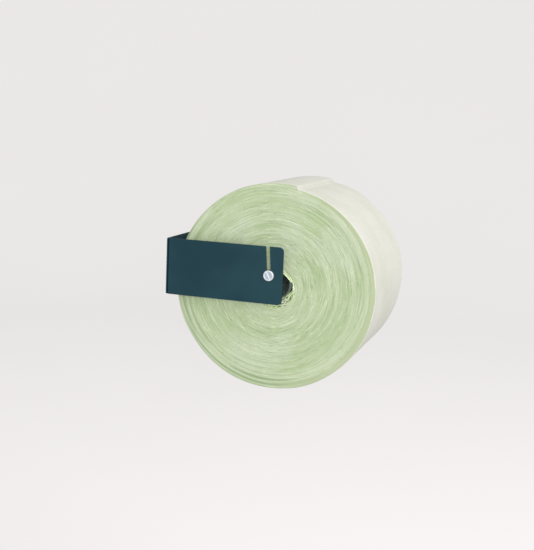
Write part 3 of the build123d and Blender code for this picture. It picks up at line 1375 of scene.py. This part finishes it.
    def _lay(self, place: Vector, start: float) -> float:
        """Moves one vertex of the last sheet onto the winding.

        Args:
            place: the vertex's place, which is changed.
            start: the angle where the sheet starts, in radians.

        Returns:
            The share of the layer that the sheet is thick there.
        """
        sweep = math.radians(self.sheet_turn)
        angle = polar(place, self.axis)[1]
        along = min(1.0, max(0.0, math.remainder(angle - start, math.tau) / sweep))
        taper = 1 - self._spiral(start + along * sweep) / self.layer
        tail = max(0.0, (along - 0.985) / 0.015)
        ragged = 0.9 * MM * noise.noise(Vector((place.x * 60, 0, 3))) * tail
        waves = 0.35 * MM * noise.noise(Vector((along * 9, place.x * 7, 1)))
        radial = self.radius + self.layer - 0.0001 - 0.0024 * tail * tail + waves * taper
        turned = start + along * sweep + ragged / self.radius
        place.y = self.axis[0] + radial * math.cos(turned)
        place.z = self.axis[1] + radial * math.sin(turned)
        edge = 0.8 * MM * noise.noise(Vector((along * 5, math.copysign(4, place.x), 2)))
        place.x *= 1 + (edge - 0.4 * MM) * abs(place.x) / self.half / self.half
        return taper

    def _turn_outside_out(self, sheet: Piece) -> None:
        """Turns an open sheet's faces away from the roll's axis.

        Args:
            sheet: the sheet.
        """
        face = sheet.data.polygons[len(sheet.data.polygons) // 2]
        _, _, c, s = polar(face.center, self.axis)
        if face.normal.dot(Vector((0, c, s))) < 0:
            with shaping(sheet):
                take_all()
                bpy.ops.mesh.flip_normals()

    def _inner_plies(self, side: Side) -> None:
        """Crumples the loose plies between the core and the mouth of one end.

        Args:
            side: the end.
        """
        loops = [self._loose_ply(index) for index in range(self.plies)]
        clear()
        for ply in loops:
            ply.select_set(True)
        bpy.context.view_layer.objects.active = loops[0]
        bpy.ops.object.join()
        bundle = bpy.context.object
        bundle.name = bundle.data.name = f"inner_plies_{side.word}"
        self._finish_plies(bundle, side)

    def _loose_ply(self, index: int) -> Piece:
        """Makes one crumpled ply of the low end.

        Args:
            index: its place, counted from the core.

        Returns:
            The ply.
        """
        share = index / (self.plies - 1)
        centre = between(self.core_axis, self.mouth_axis, share)
        least = self.core_radius + 0.0009
        radius = least + (self.mouth_radius - 0.001 - self.core_radius - 0.0009) * share
        first = -self.half - 0.0006 * (1 - share)
        steps = [first + self.ply_depth * row / (self.ply_rows - 1) for row in range(self.ply_rows)]
        rings = [Ring(x, radius, centre) for x in steps]
        ply = ring_stack(f"loose_ply_{index}", rings, 176, Ends.OPEN)
        reshape(ply, lambda place: self._crumpled(place, index, share))
        face_outwards(ply)
        thicken(ply, self.ply_thickness)
        return ply

    def _crumpled(self, place: Vector, index: int, share: float) -> Vector:
        """Packs a ply to the mouth at the front, and folds it loosely below.

        Args:
            place: a vertex of the even ply.
            index: the ply's place, counted from the core.
            share: the same, as a share of the way to the mouth.

        Returns:
            The vertex's new place.
        """
        _, _, c, s = polar(place, self.core_axis)
        room = self._mouth_reach(c, s) - self.core_radius
        packed = min(1.0, max(0.0, (s + 0.55) / 0.4)) if c < 0.5 else 0.3
        place_share = share + (0.78 + 0.22 * share - share) * packed
        edge = max(0.0, 1 - (place.x + self.half) / self.ply_depth)
        fold = noise.noise(Vector((c * 5 + index * 3.1, s * 5, place.x * 90)))
        small = noise.noise(Vector((c * 15, s * 15 + index * 2.3, place.x * 180)))
        swing = (0.0005 + room * 0.28 * (1 - packed * 0.75)) * (0.3 + 0.7 * edge)
        far = self.core_radius + 0.0006 + (room - 0.0012) * place_share
        far += (fold + small * 0.7) * swing + 0.30 * room * edge * edge * (1 - place_share)
        far = min(self.core_radius + room + 0.0006, max(self.core_radius - 0.0018, far))
        lip = 0.0026 * noise.noise(Vector((c * 4, s * 4 + index * 1.7, 7))) - 0.0012 * (1 - packed)
        y, z = self.core_axis
        return Vector((place.x + lip * edge, y + c * far, z + s * far))

    def _mouth_reach(self, c: float, s: float) -> float:
        """How far the mouth's edge is from the core's axis in one direction.

        Args:
            c: the direction's share along +Y.
            s: its share along +Z.

        Returns:
            The distance.
        """
        off_y, off_z = (mouth - core for mouth, core in zip(self.mouth_axis, self.core_axis))
        along = c * off_y + s * off_z
        return along + math.sqrt(self.mouth_radius**2 - off_y**2 - off_z**2 + along**2)

    def _curled_flap(self, side: Side) -> None:
        """Curls one torn flap of paper inside the mouth's upper front edge.

        Args:
            side: the end.
        """
        start, radius = math.radians(self.flap_start), self.core_radius - 0.0009
        y, z = self.core_axis
        middle = (self.flap_x, y + radius * math.cos(start), z + radius * math.sin(start))
        name, width = f"curled_flap_{side.word}", self.flap_width
        flap = self._swept(name, middle, width, (7, 40), self.flap_turn, self.core_axis)
        reshape(flap, self._curled)
        face_outwards(flap)
        thicken(flap, self.ply_thickness)
        self._finish_plies(flap, side)

    def _curled(self, place: Vector) -> Vector:
        """Brings the flap forward along the mouth and curls its lip inward.

        Args:
            place: a vertex of the even flap.

        Returns:
            Its new place.
        """
        _, angle, c, s = polar(place, self.core_axis)
        turned = (angle - math.radians(self.flap_start)) / math.radians(self.flap_turn)
        along, half = min(1.0, max(0.0, turned)), self.flap_width / 2
        across = (place.x - (self.flap_x - half)) / self.flap_width
        width = 0.25 + 0.75 * math.sin(math.pi * min(1.0, along * 0.9 + 0.1)) ** 0.6
        curve = (1 - across) * math.radians(100)
        far = self._mouth_reach(c, s) - 0.0026 - 0.0028 * width * (1 - math.cos(curve))
        far += 0.0004 * noise.noise(Vector((along * 8, across * 2, 4)))
        x = self.flap_x + half - 0.0078 * math.sin(curve)
        return Vector((x, self.core_axis[0] + c * far, self.core_axis[1] + s * far))

    def _finish_plies(self, piece: Piece, side: Side) -> None:
        """Moves loose paper to its end, and hands it in.

        Args:
            piece: the paper, at the low end.
            side: the end that it belongs to.
        """
        if side is Side.RIGHT:
            flip(piece)
        face_outwards(piece)
        smooth(piece, 70)
        hand_in(piece, "roll", "crepe_paper", [self.palette.ply])

    def _core(self) -> None:
        """Builds the board core with softened ends."""
        low, high = (corner.copy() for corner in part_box("roll_core"))
        low.x += self.core_sunk
        high.x -= self.core_sunk
        soft, inner, outer = self.core_soft, self.core_radius - self.core_wall, self.core_radius
        start, bevel = low.x, low.x + soft
        ends = [(bevel, inner), (start, inner + soft), (start, outer - soft), (bevel, outer)]
        steps = [(low.x + (high.x - low.x) * i / 24, outer) for i in range(1, 24)]
        far = [(-x, r) for x, r in reversed(ends)]
        back = [(-x, inner) for x, _ in steps]
        profile = [*ends, *steps, *far, *back, ends[0]]
        rings = [Ring(x, radius, self.core_axis) for x, radius in profile]
        core = ring_stack("core_tube", rings, 96, Ends.LOOP)
        smooth(core, 50)
        hand_in(core, "roll", "core_board", [self.palette.board], "roll_core")


# Studio


@dataclass
class Studio:
    """A pale floor that runs up into a backdrop, soft lights and the camera."""

    floor: float = -0.95
    cove_radius: float = 7
    cove_height: float = 9
    cove_bend: float = 3.0
    glow: float = 0.17
    air: float = 0.62
    camera_place: Point = (-1.807, -0.723, 0.294)
    azimuth: float = -72.42
    elevation: float = 9.56
    roll: float = 2.47
    focal: float = 981.0 / 550  # as a share of the sensor's width
    sensor: float = 36.0

    def build(self) -> None:
        """Builds the stage, the lights and the camera."""
        self._cove()
        self._lights()
        self._camera()

    def _cove(self) -> None:
        """Raises one round floor into a wall all round, which shows but blocks no light."""
        clear()
        bpy.ops.mesh.primitive_circle_add(
            vertices=128, radius=self.cove_radius, fill_type="NGON", location=(0, 0, self.floor)
        )
        cove = settle("studio_cove")
        with shaping(cove):
            pick(Pick.EDGES, lambda at: at.xy.length > 1)
            pull(0, 0, self.cove_height)
            pick(Pick.EDGES, lambda at: near(at.z, self.floor))
            bpy.ops.mesh.bevel(offset=self.cove_bend, segments=16)
        smooth(cove, 80)
        for rays in ("visible_diffuse", "visible_glossy", "visible_shadow"):
            setattr(cove, rays, False)
        material = bpy.data.materials.new("studio_pale")
        material.use_nodes = True
        wiring = Wiring(material.node_tree)
        shader = material.node_tree.nodes["Principled BSDF"]
        cloud = wiring.noise(wiring.add("ShaderNodeTexCoord").outputs["Object"], 0.8)
        looks = {
            "Base Color": wiring.mix(cloud, srgb(246, 243, 243), srgb(249, 246, 246)),
            "Roughness": 1.0,
            "Emission Color": (1.0, 0.985, 0.985, 1),
            "Emission Strength": self.glow,
            "Specular IOR Level": 0.0,
        }
        for key, value in looks.items():
            wiring.feed(shader.inputs[key], value)
        cove.data.materials.append(material)

    @staticmethod
    def _stand(name: str, data: bpy.types.ID, place: Point, facing: Quaternion) -> Piece:
        """Puts a light or a camera in the scene.

        Args:
            name: its name.
            data: the light or camera.
            place: where it stands.
            facing: how it is turned.

        Returns:
            The new object.
        """
        holder = bpy.data.objects.new(name, data)
        bpy.context.scene.collection.objects.link(holder)
        holder.location = place
        holder.rotation_mode = "QUATERNION"
        holder.rotation_quaternion = facing
        return holder

    def _lights(self) -> None:
        """Adds the soft key, the fill and the pale surround."""
        world = bpy.data.worlds.new("studio_air")
        bpy.context.scene.world = world
        world.use_nodes = True
        surround = world.node_tree.nodes["Background"]
        surround.inputs["Color"].default_value = (1.0, 0.992, 0.993, 1)
        surround.inputs["Strength"].default_value = self.air
        target = Vector((0, -0.2, 0))
        lamps = (("key", (-0.9, -3.2, 2.6), 2.4, 50.0), ("fill", (-3.7, -1.5, 0.72), 1.1, 60.0))
        for name, place, size, power in lamps:
            lamp = bpy.data.lights.new(f"soft_{name}", "AREA")
            lamp.shape, lamp.size, lamp.energy = "SQUARE", size, power
            lamp.color = (1.0, 0.985, 0.97)
            self._stand(lamp.name, lamp, place, (target - Vector(place)).to_track_quat("-Z", "Y"))

    def _camera(self) -> None:
        """Sets the camera."""
        data = bpy.data.cameras.new("studio_camera")
        data.sensor_width = self.sensor
        data.lens = self.focal * self.sensor
        data.clip_start, data.clip_end = 0.05, 60
        across, up = math.radians(self.azimuth), math.radians(self.elevation)
        flat = math.cos(up)
        back = Vector((math.sin(across) * flat, -math.cos(across) * flat, math.sin(up)))
        level = (-back).to_track_quat("-Z", "Y")
        facing = level @ Quaternion((0, 0, 1), math.radians(self.roll))
        scene = bpy.context.scene
        scene.camera = self._stand("studio_camera", data, self.camera_place, facing)
        scene.view_settings.view_transform = "Standard"


def main() -> None:
    """Builds the studio, the holder and the roll in order."""
    logging.basicConfig(level=logging.INFO, format="%(name)s: %(message)s")
    Studio().build()
    axle, paper = box_centre("spindle_tube"), box_centre("paper_roll")
    palette = Palette(axle, paper, PaperRoll.loose_end, PaperRoll.sheet_turn)
    for assembly in (Fittings, BackPlate, SideArm, EndScrew, PaperRoll):
        assembly(palette, axle).build()


if __name__ == "__main__":
    main()
